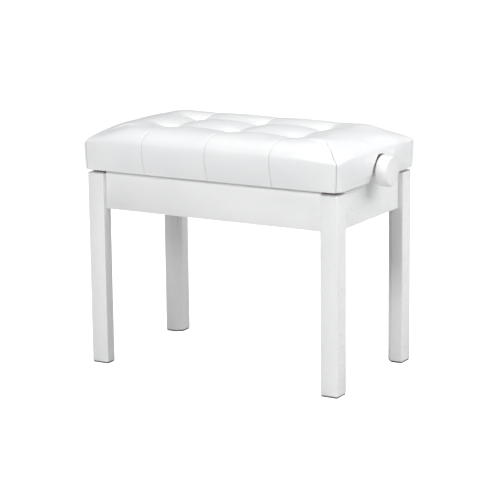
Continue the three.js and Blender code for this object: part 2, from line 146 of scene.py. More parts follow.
def lacquer(name, along):
    """Sprayed white lacquer: faint orange peel over a trace of the wood's grain along one axis."""
    material, nodes, links, shader, place = new_material(
        name, 0.3, Coat_Weight=0.25, Coat_Roughness=0.18, Specular_IOR_Level=0.5)
    stretch = tuple(0.06 if axis == along else 1.0 for axis in "xyz")
    cloud = noise(nodes, links, place, 9, 4)
    tint(nodes, links, shader, spread(nodes, links, cloud, 0, 1), (0.88, 0.881, 0.883), (0.915, 0.915, 0.915))
    grain = noise(nodes, links, place, 420, 5, stretch)
    peel = noise(nodes, links, place, 260, 2)
    links.new(spread(nodes, links, peel, 0.27, 0.34), shader.inputs["Roughness"])
    first = bump(nodes, links, shader, grain, 0.00003, 0.4)
    bump(nodes, links, shader, peel, 0.00002, 0.5, first)
    return material


def leatherette():
    """White coated cloth: fine pebbles in a soft wandering crease pattern, with a low even gloss, and painted
    shade along the seams.
    """
    material, nodes, links, shader, place = new_material(
        "white_leatherette", 0.38, Coat_Weight=0.12, Coat_Roughness=0.3,
        Sheen_Weight=0.04, Sheen_Roughness=0.5)
    cloud = noise(nodes, links, place, 14, 4)
    tint(nodes, links, shader, spread(nodes, links, cloud, 0, 1), (0.855, 0.859, 0.865), (0.888, 0.889, 0.89))
    surface = shader.inputs["Base Color"].links[0].from_socket
    # Painted shade: the colour darkens to grey along the seams, where the grooves would lie in shade.
    sewn = nodes.new("ShaderNodeAttribute")
    sewn.attribute_name = "seam"
    lines = nodes.new("ShaderNodeMix")
    lines.data_type = "RGBA"
    links.new(sewn.outputs["Fac"], lines.inputs["Factor"])
    links.new(surface, lines.inputs["A"])
    lines.inputs["B"].default_value = (0.46, 0.465, 0.475, 1)
    links.new(lines.outputs["Result"], shader.inputs["Base Color"])
    cells = nodes.new("ShaderNodeTexVoronoi")
    cells.feature = "SMOOTH_F1"
    cells.inputs["Scale"].default_value = 780
    cells.inputs["Smoothness"].default_value = 0.6
    links.new(place, cells.inputs["Vector"])
    fine = noise(nodes, links, place, 1900, 2)
    wander = noise(nodes, links, place, 120, 6)
    links.new(spread(nodes, links, wander, 0.32, 0.45), shader.inputs["Roughness"])
    first = bump(nodes, links, shader, wander, 0.0003, 0.35)
    second = bump(nodes, links, shader, cells.outputs["Distance"], 0.00016, 0.45, first)
    bump(nodes, links, shader, fine, 0.00005, 0.4, second)
    return material


def knob_plastic():
    """Glossy moulded plastic with a trace of flow and fine scuffs."""
    material, nodes, links, shader, place = new_material(
        "white_plastic", 0.2, Coat_Weight=0.3, Coat_Roughness=0.08, Subsurface_Weight=0.05)
    flow = noise(nodes, links, place, 30, 3)
    tint(nodes, links, shader, spread(nodes, links, flow, 0, 1), (0.88, 0.88, 0.878), (0.915, 0.915, 0.912))
    scuffs = noise(nodes, links, place, 700, 4, (1, 0.2, 1))
    links.new(spread(nodes, links, scuffs, 0.16, 0.26), shader.inputs["Roughness"])
    bump(nodes, links, shader, flow, 0.0001, 0.3)
    return material


def plated_steel():
    """Zinc-plated steel with its cloudy spangle."""
    material, nodes, links, shader, place = new_material("plated_steel", 0.32, 1.0)
    spangle = noise(nodes, links, place, 160, 3)
    tint(nodes, links, shader, spread(nodes, links, spangle, 0, 1), (0.5, 0.51, 0.53), (0.66, 0.66, 0.65))
    links.new(spread(nodes, links, spangle, 0.25, 0.42), shader.inputs["Roughness"])
    bump(nodes, links, shader, noise(nodes, links, place, 900, 2), 0.00004, 0.4)
    return material


def black_steel():
    """Powder-coated steel."""
    material, nodes, links, shader, place = new_material("black_powder_coat", 0.45)
    cloud = noise(nodes, links, place, 40, 3)
    tint(nodes, links, shader, spread(nodes, links, cloud, 0, 1), (0.018, 0.018, 0.02), (0.03, 0.03, 0.032))
    peel = noise(nodes, links, place, 650, 2)
    links.new(spread(nodes, links, peel, 0.4, 0.52), shader.inputs["Roughness"])
    bump(nodes, links, shader, peel, 0.0001, 0.5)
    return material


def timber(name, along):
    """Plain planed softwood or plywood, with growth lines along one axis."""
    material, nodes, links, shader, place = new_material(name, 0.62)
    stretch = tuple(0.05 if axis == along else 1.0 for axis in "xyz")
    rings = noise(nodes, links, place, 95, 6, stretch)
    growth = spread(nodes, links, rings, 0, 1, 0.3, 0.7)
    tint(nodes, links, shader, growth, (0.5, 0.34, 0.19), (0.72, 0.55, 0.36))
    fibre = noise(nodes, links, place, 700, 4, stretch)
    links.new(spread(nodes, links, fibre, 0.5, 0.72), shader.inputs["Roughness"])
    bump(nodes, links, shader, fibre, 0.00015, 0.6)
    return material


def rubber():
    """Dark moulded rubber."""
    material, nodes, links, shader, place = new_material("dark_rubber", 0.7)
    cloud = noise(nodes, links, place, 90, 3)
    tint(nodes, links, shader, spread(nodes, links, cloud, 0, 1), (0.03, 0.03, 0.032), (0.055, 0.055, 0.057))
    bump(nodes, links, shader, noise(nodes, links, place, 1200, 2), 0.00008, 0.5)
    return material


def open_foam():
    """Open-cell foam."""
    material, nodes, links, shader, place = new_material("open_foam", 0.95)
    pores = noise(nodes, links, place, 900, 3)
    tint(nodes, links, shader, spread(nodes, links, pores, 0, 1), (0.62, 0.55, 0.38), (0.8, 0.74, 0.56))
    bump(nodes, links, shader, pores, 0.0005, 0.8)
    return material


LACQUER = {axis: lacquer(f"white_lacquer_{axis}", axis) for axis in "xyz"}
TIMBER = {axis: timber(f"timber_{axis}", axis) for axis in "xy"}
LEATHERETTE = leatherette()
PLASTIC = knob_plastic()
STEEL = plated_steel()
BLACK_STEEL = black_steel()
RUBBER = rubber()
FOAM = open_foam()

# ---- CAD pieces that stay as they are, with softened edges ----

EDGE_ANGLE = math.radians(32)  # sharper edges than the facets of the round pieces
LEG_EDGE = 0.0016  # widths of the rounding
APRON_EDGE = 0.001
TIMBER_EDGE = 0.0006
STEEL_EDGE = 0.0003
GLIDE_EDGE = 0.0005


def dress(node, material, edge, segments=2):
    """Rounds a CAD node's edges by a modifier and gives it its material."""
    piece = frame["nodes"][node]
    piece.data.materials.clear()
    piece.data.materials.append(material)
    weld = piece.modifiers.new("weld", "WELD")
    weld.merge_threshold = 0.00001
    bevel = piece.modifiers.new("soft_edges", "BEVEL")
    bevel.width = edge
    bevel.segments = segments
    bevel.limit_method = "ANGLE"
    bevel.angle_limit = EDGE_ANGLE
    bevel.harden_normals = True
    piece.data.shade_smooth()
    return piece


def dress_frame():
    """Every CAD node but the knobs and the soft ones, which other pieces replace further down."""
    slots = {part["node"]: part["material_slot"] for part in frame["record"]["subparts"]}
    for node, slot in slots.items():
        low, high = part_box(node)
        size = high - low
        along = "xyz"[max(range(3), key=lambda axis: size[axis])]
        if slot == "lacquer":
            dress(node, LACQUER[along], LEG_EDGE if node.startswith("leg_") else APRON_EDGE, 3)
        elif slot == "timber":
            dress(node, TIMBER["y" if along == "y" else "x"], TIMBER_EDGE)
        elif slot == "black_steel":
            dress(node, BLACK_STEEL, STEEL_EDGE)
        elif slot == "steel":
            dress(node, STEEL, STEEL_EDGE)
        elif slot == "glide":
            dress(node, RUBBER, GLIDE_EDGE)


dress_frame()

# ---- Cushion: shape of the leatherette cover ----

seat_board_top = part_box("seat_board")[1].z
skirt_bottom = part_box("skirt_front")[0].z
board_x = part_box("skirt_right")[1].x  # outer faces of the skirt boards
board_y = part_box("skirt_rear")[1].y

COVER_THICKNESS = 0.001
FIT = 0.0003  # between pieces that touch
FOAM_GAP = 0.0018  # under the cover, for its backing
FOAM_LEAST = 0.001  # thickness
FOAM_RING = 0.97  # last ring that the foam reaches down to
EDGE_PADDING = 0.0028  # from a skirt board to the cover's outer face at the bottom edge
FOLD_RADIUS = 0.0015  # where the cover turns under the skirt
TURN_UNDER = 0.012
HALF_X = board_x + EDGE_PADDING
HALF_Y = board_y + EDGE_PADDING
BOTTOM = skirt_bottom - 0.0012
SHOULDER_Z = seat_board_top + 0.002  # where the upright front starts to turn over
SHOULDER_REACH = 0.042
SHOULDER_RISE = 0.0275
TOP_Z = SHOULDER_Z + SHOULDER_RISE
SWELL_X = 0.0055  # how far the padding pushes out the ends and the long sides
SWELL_Y = 0.0113
SWELL_POWER = 5  # how suddenly the swell ends towards a corner
MARGIN = 0.055  # from the bottom edge in to the flat-topped middle

BROAD_REACH = 0.100  # of the wide rounding at the ends and the rear
END_FALL = 0.030
REAR_FALL = 0.028
CORNER_TOP_Z = seat_board_top + 0.0008  # top of a corner's upright edge
CORNER_TOP_INSET = 0.0008
CORNER_BOTTOM_INSET = 0.0026
CORNER_LIFT = 0.0030  # of the bottom edge where it turns the corner
CORNER_LIFT_REACH = 0.011
CORNER_ROUND = 2.75  # reach of a corner's rounding, as a share of the gap that it closes
CORNER_ROUND_LEAST = 0.009
CORNER_SEAM_SHIFT = 0.0034  # from the corner to its seam, round on the long side
CORNER_DROP_REACH = 0.075  # along a side, how far from the corner its top edge dips

RING_FLAT = 0.16  # ring values: 0 inner edge of a side strip, 1 bottom edge, above 1 turned under
RING_SHOULDER = 0.5
RING_FOLD = 1.02
RING_END = 1.10
SEAM_END = 1.01  # ring where the sewn lines stop
BLEND_REACH = 0.055  # of the averaging over nearby rings, which starts and stops over BLEND_START
BLEND_START = 0.12
BLEND_END = 0.99
STRIP_LENGTH = 0.135  # about, over a side strip from ring 0 to ring 1
FOLD_RINGS = (1.006, 1.012, RING_FOLD, 1.05, RING_END)

SEAM_X = (-HALF_X / 2, 0.0, HALF_X / 2)
SEAM_Y = (-HALF_Y / 3, HALF_Y / 3)
FIXED_X = SEAM_X[2] + 0.020  # grid lines out to here run straight, the rest fan out to the corners
FIXED_Y = SEAM_Y[1] + 0.012

PUFF_RISE = 0.0035
PUFF_FADE_X = (0.19, 0.075)  # where the puffs start to fade towards the ends, and over what length
PUFF_FADE_Y = (0.088, 0.06)
VALLEY_DEPTH = 0.0078
VALLEY_REACH = 0.070
VALLEY_ROUND = 0.005  # of a valley's floor
VALLEY_FADE_X = 0.075  # past the last seams
VALLEY_FADE_Y = 0.085
VALLEY_BLEND = 900.0  # sharpness of the blend where valleys cross, per metre
TUFT_DEPTH = 0.0105
TUFT_RADIUS = 0.0135
TUFT_FLAT = 0.004
PLEAT_DEPTH = 0.00045  # of the small folds that run out from a tuft
PLEAT_RADIUS = 0.017
PLEAT_REACH = 0.009
LENGTHWISE_FADE = 0.06  # of a lengthwise seam, past the last crosswise one
SWELL_CAP = 0.0024  # most that the stuffing moves the cover
SEAM_HOLD = 0.55  # how firmly a seam holds the cloth, where a tuft holds it fully
HELD_RING = 0.93  # the cloth is held from this ring down
HELD_TUFT = 0.006  # and this far round a tuft or beside a seam
HELD_SEAM = 0.004
CLOTH_FRAMES = 20
PANEL_SEAM = (0.0014, 0.0009)  # depth and width of a seam between panels
CORNER_SEAM = (0.0017, 0.0008, 0.0005)  # depth, width and height of the lips
SEAM_LIP_OFFSET = 0.0030
SEAM_LIP_WIDTH = 0.0018
SEAM_WIDTH = 0.0011  # of the painted shade line on each side of a seam
PANEL_SHADE = 0.55  # of the painted shade on a seam between panels, where a corner seam has 1
SEAM_LINES = (0, 0.0006, 0.0013, 0.0022, 0.0036)  # grid lines beside a seam
CORNER_LINES = (0, 0.0007, 0.0013, 0.0018, 0.0023, 0.0030, 0.0042)

COVER_STEP = 0.0034  # grid spacings
CLOTH_STEP = 0.0064
FOAM_STEP = 0.009

ARCH_RADIUS = 0.0325
ARCH_Z = 0.408  # centre of the round part of an arch in an end panel
ARCH_CUT = (0.03, 0.02)  # how far a cutter passes the board's face, and the cover's bottom edge
EDGING_DEPTH = 0.0085  # of the turned-in strip, inward from the board's outer face
KNOB_BACK = 21 / 45  # share of a knob's length where its grip starts


def smooth(t):
    t = np.clip(t, 0, 1)
    return t * t * (3 - 2 * t)


def fade(value, start, length):
    """1 up to start, falling gently to 0 over the length."""
    return 1 - smooth((value - start) / length)


def softened(section):
    """The section averaged over nearby rings, so that its curvature changes gently."""
    def average(w, *rest):
        reach = BLEND_REACH * smooth(w / BLEND_START) * smooth((BLEND_END - w) / BLEND_START)
        return sum(section(w + reach * k / 3, *rest) for k in range(-3, 4)) / 7
    return average


def fold_turn(w):
    return np.clip((w - 1) / (RING_FOLD - 1), 0, 1) * math.pi / 2


def shoulder_turn(w):
    return np.clip((RING_SHOULDER - w) / (RING_SHOULDER - RING_FLAT), 0, 1) * math.pi / 2


@softened
def ring_out(w):
    """How far a ring lies outside the bottom edge's line where no padding swells it."""
    flat = -MARGIN + (MARGIN - SHOULDER_REACH) * w / RING_FLAT
    shoulder = -SHOULDER_REACH * (1 - np.cos(shoulder_turn(w)))
    under = np.clip((w - RING_FOLD) / (RING_END - RING_FOLD), 0, 1)
    below = -FOLD_RADIUS * (1 - np.cos(fold_turn(w))) - TURN_UNDER * under
    return np.where(w < RING_FLAT, flat, np.where(w < 1, shoulder, below))


@softened
def ring_height(w, shoulder_z, top_z):
    """Height of a ring, for a side whose upright part ends at shoulder_z."""
    crown = shoulder_z + (top_z - shoulder_z) * np.sin(shoulder_turn(w))
    upright = shoulder_z - (shoulder_z - BOTTOM - FOLD_RADIUS) * (w - RING_SHOULDER) / (1 - RING_SHOULDER)
    below = BOTTOM + FOLD_RADIUS * (1 - np.sin(fold_turn(w)))
    return np.where(w < RING_SHOULDER, crown, np.where(w < 1, upright, below))


@softened
def ring_swell(w):
    """Share of the padding's swell at a ring."""
    flat = smooth(w / RING_FLAT)
    upright = np.sin(np.clip((1 - w) / (1 - RING_SHOULDER), 0, 1) * math.pi / 2)
    return np.where(w < RING_FLAT, flat, np.where(w < RING_SHOULDER, 1.0, upright))


@softened
def corner_inset(w):
    """Inset of the corner seam from the bottom edge's corner, equal along both sides."""
    ramp = MARGIN + (CORNER_TOP_INSET - MARGIN) * w / RING_SHOULDER
    upright = (CORNER_TOP_INSET
               + (CORNER_BOTTOM_INSET - CORNER_TOP_INSET) * (w - RING_SHOULDER) / (1 - RING_SHOULDER))
    under = np.clip((w - RING_FOLD) / (RING_END - RING_FOLD), 0, 1)
    below = CORNER_BOTTOM_INSET + FOLD_RADIUS * (1 - np.cos(fold_turn(w))) + TURN_UNDER * under
    return np.where(w < RING_SHOULDER, ramp, np.where(w < 1, upright, below))


def share_near(distance, reach):
    """1 at a line, falling to 0 at reach from it, steeply at first."""
    return np.clip(1 - distance / reach, 0, 1) ** 2


def fan(c, fixed, inner, outer):
    """Place along a side of the grid line that crosses the strip's inner edge at c."""
    spread_out = fixed + (np.abs(c) - fixed) * (outer - fixed) / (inner - fixed)
    return np.where(np.abs(c) <= fixed, c, np.sign(c) * spread_out)


def broad_drop(from_face, fall):
    """How far the top has fallen, at a distance in from the face of a broadly rounded side."""
    rest = 1 - np.clip(from_face / BROAD_REACH, 0, 1)
    return fall * (1 - np.sqrt(1 - rest * rest))


def middle(x, y):
    """Height of the middle, which falls away towards the ends and the rear."""
    at_end = broad_drop(HALF_X + SWELL_X - np.abs(x), END_FALL)
    at_rear = broad_drop(HALF_Y + SWELL_Y - y, REAR_FALL)
    return TOP_Z - at_end - at_rear


@softened
def corner_height(w, inner_z):
    """Height of a corner seam that leaves the middle at inner_z."""
    ramp = inner_z + (CORNER_TOP_Z - inner_z) * w / RING_SHOULDER
    upright = CORNER_TOP_Z - (CORNER_TOP_Z - BOTTOM - FOLD_RADIUS) * (w - RING_SHOULDER) / (1 - RING_SHOULDER)
    below = BOTTOM + FOLD_RADIUS * (1 - np.sin(fold_turn(w)))
    return np.where(w < RING_SHOULDER, ramp, np.where(w < 1, upright, below))


def side_strip(side, c, w):
    """Points of one side of the cover, for grid lines c and rings w. Sides: front, rear, left, right."""
    long_side = side in ("front", "rear")
    sign = -1 if side in ("front", "left") else 1
    half_along, half_across = (HALF_X, HALF_Y) if long_side else (HALF_Y, HALF_X)
    fixed, swell = (FIXED_X, SWELL_Y) if long_side else (FIXED_Y, SWELL_X)
    inset = corner_inset(w)
    along = fan(c, fixed, half_along - MARGIN, half_along - inset)
    from_corner = half_along - inset - np.abs(along)
    bowed = (np.abs(along) / (half_along - inset)) ** SWELL_POWER
    plain = ring_out(w)
    out = plain + swell * ring_swell(w) * (1 - bowed)
    from_face = swell * (1 - bowed * ring_swell(w)) - out
    if long_side:
        end_drop = broad_drop(HALF_X + SWELL_X - np.abs(along), END_FALL)
        if side == "front":
            level = ring_height(w, SHOULDER_Z, TOP_Z - end_drop)
        else:
            crown = TOP_Z - end_drop - broad_drop(from_face, REAR_FALL)
            level = np.where(w < RING_SHOULDER, crown, ring_height(w, TOP_Z - REAR_FALL, TOP_Z - end_drop))
    else:
        rear_drop = broad_drop(HALF_Y + SWELL_Y - along, REAR_FALL)
        crown = TOP_Z - rear_drop - broad_drop(from_face, END_FALL)
        level = np.where(w < RING_SHOULDER, crown, ring_height(w, TOP_Z - END_FALL, TOP_Z))
    inner_corner = np.sign(along) * (half_along - MARGIN), sign * (half_across - MARGIN)
    inner_z = middle(*inner_corner) if long_side else middle(*inner_corner[::-1])
    level = level + (corner_height(w, inner_z) - level) * share_near(from_corner, CORNER_DROP_REACH)
    gap = inset + plain
    out = out - gap * share_near(from_corner, np.maximum(CORNER_ROUND * gap, CORNER_ROUND_LEAST))
    near_bottom = smooth((w - 0.86) / 0.13) * fade(w, 1.0, 0.03)
    level = level + CORNER_LIFT * share_near(from_corner, CORNER_LIFT_REACH) * near_bottom
    across = sign * (half_across + out)
    return np.stack([along, across, level] if long_side else [across, along, level], -1)


class Grid:
    """The cover as one strip from front to rear and a patch at each end, with shared corner seams.

    columns are grid lines along x, rows along y, both measured in the middle, and rings as above."""

    def __init__(self, columns, rows, rings):
        self.columns, self.rows, self.rings = (np.array(v, float) for v in (columns, rows, rings))
        n_ring, n_row, n_col = len(self.rings), len(self.rows), len(self.columns)
        total = 2 * (n_ring - 1) + n_row
        self.strip = np.arange(total * n_col).reshape(total, n_col)
        first = n_ring - 1
        self.ends = {}
        count = total * n_col
        for side, col in ((-1, 0), (1, n_col - 1)):
            patch = np.zeros((n_ring, n_row), int)
            patch[0] = self.strip[first:first + n_row, col]
            patch[:, 0] = self.strip[first::-1, col]
            patch[:, -1] = self.strip[first + n_row - 1:, col]
            patch[1:, 1:-1] = count + np.arange((n_ring - 1) * (n_row - 2)).reshape(n_ring - 1, n_row - 2)
            count += (n_ring - 1) * (n_row - 2)
            self.ends[side] = patch
        self.count = count
        self.first = first

    def faces(self):
        """Quads with their fronts outside."""
        found = []
        s = self.strip
        found.append(np.stack([s[:-1, :-1], s[:-1, 1:], s[1:, 1:], s[1:, :-1]], -1).reshape(-1, 4))
        for side, e in self.ends.items():
            quads = np.stack([e[1:, :-1], e[1:, 1:], e[:-1, 1:], e[:-1, :-1]], -1).reshape(-1, 4)
            found.append(quads if side > 0 else quads[:, ::-1])
        return np.concatenate(found)

    def layout(self, strip_values, end_values):
        """One array per vertex from the strip's array and each end's."""
        shape = strip_values.shape[2:]
        out = np.zeros((self.count, *shape))
        for side, e in self.ends.items():
            out[e[1:, 1:-1]] = end_values[side][1:, 1:-1]
        out[self.strip] = strip_values
        return out

    def base(self):
        """The smooth cushion before its tufts and seams."""
        c, w = np.meshgrid(self.columns, self.rings)
        x, y = np.meshgrid(self.columns, self.rows)
        centre = np.stack([x, y, middle(x, y)], -1)
        front, rear = side_strip("front", c, w)[:0:-1], side_strip("rear", c, w)[1:]
        c, w = np.meshgrid(self.rows, self.rings)
        ends = {-1: side_strip("left", c, w), 1: side_strip("right", c, w)}
        return self.layout(np.concatenate([front, centre, rear]), ends)

    def ring_of(self):
        """Each vertex's ring, 0 in the middle."""
        w = np.concatenate([self.rings[:0:-1], np.zeros(len(self.rows)), self.rings[1:]])
        strip = np.repeat(w[:, None], len(self.columns), 1)
        end = np.repeat(self.rings[:, None], len(self.rows), 1)
        return self.layout(strip, {-1: end, 1: end})

    def is_end(self):
        """1 on the two end patches, without their shared edges."""
        strip = np.zeros(self.strip.shape)
        end = np.ones((len(self.rings), len(self.rows)))
        return self.layout(strip, {-1: end, 1: end})


def corner_seam_distance(points, w, ends):
    """Distance from the nearest corner seam, which runs round the corner on the long side."""
    from_corner = HALF_X - corner_inset(w) - np.abs(points[:, 0])
    shift = CORNER_SEAM_SHIFT * smooth((w - 0.15) / 0.3)
    return np.where((w <= 0) | (ends > 0), 1.0, np.abs(from_corner - shift))


def nearest(values, lines):
    """Distance to the nearest of the lines."""
    return np.min([np.abs(values - line) for line in lines], axis=0)


def relief(points):
    """How far puffs, valleys and tufts move the top out or in."""
    x, y = points[:, 0], points[:, 1]
    off_x, off_y = nearest(x, SEAM_X), nearest(y, SEAM_Y)
    past_x = np.clip(np.abs(x) - SEAM_X[2], 0, None)
    past_y = np.clip(np.abs(y) - SEAM_Y[1], 0, None)
    puff = PUFF_RISE * fade(np.abs(x), *PUFF_FADE_X) * fade(np.abs(y), *PUFF_FADE_Y)
    off_x, off_y = (np.hypot(off, VALLEY_ROUND) - VALLEY_ROUND for off in (off_x, off_y))
    across = VALLEY_DEPTH * share_near(off_x, VALLEY_REACH) * fade(past_y, 0, VALLEY_FADE_Y)
    along = VALLEY_DEPTH * share_near(off_y, SEAM_Y[1]) * fade(past_x, 0, VALLEY_FADE_X)
    valley = np.log(np.exp(VALLEY_BLEND * across) + np.exp(VALLEY_BLEND * along) - 1) / VALLEY_BLEND
    tuft = np.zeros(len(x))
    for line_x in SEAM_X:
        for line_y in SEAM_Y:
            r = np.hypot(x - line_x, y - line_y)
            angle = np.arctan2(y - line_y, x - line_x)
            tuft += TUFT_DEPTH * np.exp(-np.maximum(r - TUFT_FLAT, 0) / TUFT_RADIUS)
            phase = 5.1 * line_x / HALF_X + 2.3 * line_y / HALF_Y  # turns the folds at each tuft
            folds = np.cos(7 * angle + 9 * phase) + 0.6 * np.cos(11 * angle - 4 * phase)
            tuft += PLEAT_DEPTH * folds * np.exp(-((r - PLEAT_RADIUS) / PLEAT_REACH) ** 2)
    return puff - valley - tuft


def seam_groove(distance, depth, width, lip=0.0):
    """A sewn line: a narrow groove, with a faint lip on both sides where one is given."""
    raised = lip * np.exp(-((distance - SEAM_LIP_OFFSET) / SEAM_LIP_WIDTH) ** 2)
    return raised - depth * np.exp(-(distance / width) ** 2)


def seams(points, w, ends):
    """How far the sewn lines move the cover in or out."""
    on_strip = ends < 1
    across = seam_groove(nearest(points[:, 0], SEAM_X), *PANEL_SEAM) * on_strip
    past = np.clip(np.abs(points[:, 0]) - SEAM_X[2], 0, None)
    lengthwise = seam_groove(nearest(points[:, 1], SEAM_Y), *PANEL_SEAM)
    lengthwise = lengthwise * ((w <= 0) | ~on_strip) * fade(past, 0, LENGTHWISE_FADE)
    corner = seam_groove(corner_seam_distance(points, w, ends), *CORNER_SEAM)
    return (across + lengthwise + corner) * (w < SEAM_END)


def painted_seam_shade(points, w, ends):
    """How much painted shade darkens a sewn line's colour: 1 on a corner seam, less between panels, falling
    to 0 beside it.
    """
    on_strip = ends < 1
    across = np.where(on_strip, nearest(points[:, 0], SEAM_X), 1.0)
    past = np.clip(np.abs(points[:, 0]) - SEAM_X[2], 0, None)
    lengthwise = np.where((w <= 0) & (past < 0.03), nearest(points[:, 1], SEAM_Y), 1.0)
    panel = PANEL_SHADE * np.clip(1 - np.minimum(across, lengthwise) / SEAM_WIDTH, 0, 1)
    corner = np.clip(1 - corner_seam_distance(points, w, ends) / SEAM_WIDTH, 0, 1)
    return np.maximum(panel, corner) * (w < SEAM_END)


def normals(points, quads):
    """Vertex normals, weighted by face area."""
    a, b, c, d = (points[quads[:, i]] for i in range(4))
    face = np.cross(c - a, d - b)
    total = np.zeros_like(points)
    for i in range(4):
        np.add.at(total, quads[:, i], face)
    return total / np.linalg.norm(total, axis=1, keepdims=True)


def even(low, high, step):
    return np.linspace(low, high, max(2, round((high - low) / step) + 1))


def with_lines(values, lines, offsets, low, high):
    """Grid lines at values, cleared near the given lines and set close together there."""
    reach = max(offsets)
    kept = [v for v in values if nearest(np.array([v]), lines)[0] > reach * 1.5 or v in (low, high)]
    added = [line + side * offset for line in lines for offset in offsets for side in (-1, 1)]
    added = [v for v in added if low - 1e-9 <= v <= high + 1e-9]
    return np.unique(np.round(kept + added, 7))


def cover_grid(step, seam_offsets, corner_offsets):
    """The cover's grid at a spacing, with close lines along the seams."""
    inner_x, inner_y = HALF_X - MARGIN, HALF_Y - MARGIN
    columns = even(-inner_x, inner_x, step)
    rows = even(-inner_y, inner_y, step)
    ring_step = step / STRIP_LENGTH
    top_rings, upright_rings = even(0, RING_SHOULDER, ring_step), even(RING_SHOULDER, 1, ring_step)
    rings = np.concatenate([top_rings, upright_rings[1:], FOLD_RINGS])
    if seam_offsets:
        columns = with_lines(columns, SEAM_X, seam_offsets, -inner_x, inner_x)
        rows = with_lines(rows, SEAM_Y, seam_offsets, -inner_y, inner_y)
        columns = with_lines(columns, (-inner_x, inner_x), corner_offsets, -inner_x, inner_x)
        rows = with_lines(rows, (-inner_y, inner_y), corner_offsets, -inner_y, inner_y)
    return Grid(columns, rows, rings)


def mesh_object(name, points, faces, material):
    mesh = bpy.data.meshes.new(name)
    mesh.from_pydata([tuple(p) for p in points], [], [tuple(f) for f in faces])
    mesh.materials.append(material)
    mesh.validate()
    mesh.shade_smooth()
    piece = bpy.data.objects.new(name, mesh)
    scene.collection.objects.link(piece)
    return piece


def face_outward(mesh):
    """Turns a closed mesh's faces outward."""
    clean = bmesh.new()
    clean.from_mesh(mesh)
    bmesh.ops.recalc_face_normals(clean, faces=clean.faces)
    clean.to_mesh(mesh)
    clean.free()


def spline_weights(at, count):
    """Weights of count evenly numbered samples for a smooth curve through them, at fractional numbers."""
    start = np.clip(np.floor(at).astype(int), 0, count - 2)
    t = at - start
    weights = np.zeros((len(at), count))
    parts = (-t ** 3 + 2 * t * t - t, 3 * t ** 3 - 5 * t * t + 2, -3 * t ** 3 + 4 * t * t + t, t ** 3 - t * t)
    for offset, part in zip((-1, 0, 1, 2), parts):
        np.add.at(weights, (np.arange(len(at)), np.clip(start + offset, 0, count - 1)), part / 2)
    return weights


def resampled(values, coarse, fine):
    """Values on the coarse grid's vertices carried over to the fine grid's."""
    at_col = np.interp(fine.columns, coarse.columns, np.arange(len(coarse.columns)))
    at_row = np.interp(fine.rows, coarse.rows, np.arange(len(coarse.rows)))
    at_ring = np.interp(fine.rings, coarse.rings, np.arange(len(coarse.rings)))
    last = coarse.first + len(coarse.rows) - 1
    at_strip = np.concatenate([coarse.first - at_ring[:0:-1], coarse.first + at_row, last + at_ring[1:]])
    down = spline_weights(at_strip, len(coarse.strip))
    across = spline_weights(at_col, len(coarse.columns))
    strip = np.einsum("ij,jkm,lk->ilm", down, values[coarse.strip], across)
    ring_weights = spline_weights(at_ring, len(coarse.rings))
    row_weights = spline_weights(at_row, len(coarse.rows))
    ends = {side: np.einsum("ij,jkm,lk->ilm", ring_weights, values[patch], row_weights)
            for side, patch in coarse.ends.items()}
    return fine.layout(strip, ends)


def stuffing_swell(coarse):
    """How the cover moves when the padding presses on it from inside, held at its tufts and lower edge."""
    quads = coarse.faces()
    ring = coarse.ring_of()
    start = coarse.base()
    start = start + normals(start, quads) * (relief(start) * (ring < 1))[:, None]
    blank = mesh_object("cloth_blank", start, quads.tolist(), LEATHERETTE)
    tufts = np.min([np.hypot(start[:, 0] - x, start[:, 1] - y) for x in SEAM_X for y in SEAM_Y], axis=0)
    on_crosswise = nearest(start[:, 0], SEAM_X) < HELD_SEAM
    on_lengthwise = (nearest(start[:, 1], SEAM_Y) < HELD_SEAM) & (ring <= 0)
    firm = (ring > HELD_RING) | (tufts < HELD_TUFT)
    held = np.where(firm, 1.0, np.where(on_crosswise | on_lengthwise, SEAM_HOLD, 0.0))
    group = blank.vertex_groups.new(name="held")
    for weight in (SEAM_HOLD, 1.0):
        group.add(np.flatnonzero(held == weight).tolist(), weight, "REPLACE")
    cloth = blank.modifiers.new("cloth", "CLOTH")
    cloth.settings.vertex_group_mass = "held"
    cloth.settings.quality = 5
    cloth.settings.mass = 0.2
    cloth.settings.tension_stiffness = 30
    cloth.settings.compression_stiffness = 30
    cloth.settings.shear_stiffness = 12
    cloth.settings.bending_stiffness = 0.8
    cloth.settings.use_pressure = True
    cloth.settings.uniform_pressure_force = 3.0
    cloth.settings.effector_weights.gravity = 0
    cloth.point_cache.frame_start = 1
    cloth.point_cache.frame_end = CLOTH_FRAMES
    for step in range(1, CLOTH_FRAMES + 1):
        scene.frame_set(step)
    graph = bpy.context.evaluated_depsgraph_get()
    settled = np.array([v.co for v in blank.evaluated_get(graph).data.vertices], float)
    bpy.data.objects.remove(blank)
    scene.frame_set(1)
    move = settled - start
    size = np.linalg.norm(move, axis=1, keepdims=True)
    return move * np.minimum(1, SWELL_CAP / np.maximum(size, 1e-9))


def bake(piece):
    """Applies the piece's modifiers."""
    graph = bpy.context.evaluated_depsgraph_get()
    mesh = bpy.data.meshes.new_from_object(piece.evaluated_get(graph))
    piece.modifiers.clear()
    piece.data = mesh


def arch_outline(radius, foot, steps=48):
    """Y and Z along the arch in an end panel, from one foot over the top to the other."""
    turns = np.linspace(0, math.pi, steps + 1)
    over = [(radius * math.cos(t), ARCH_Z + radius * math.sin(t)) for t in turns]
    return [(radius, foot), *over, (-radius, foot)]


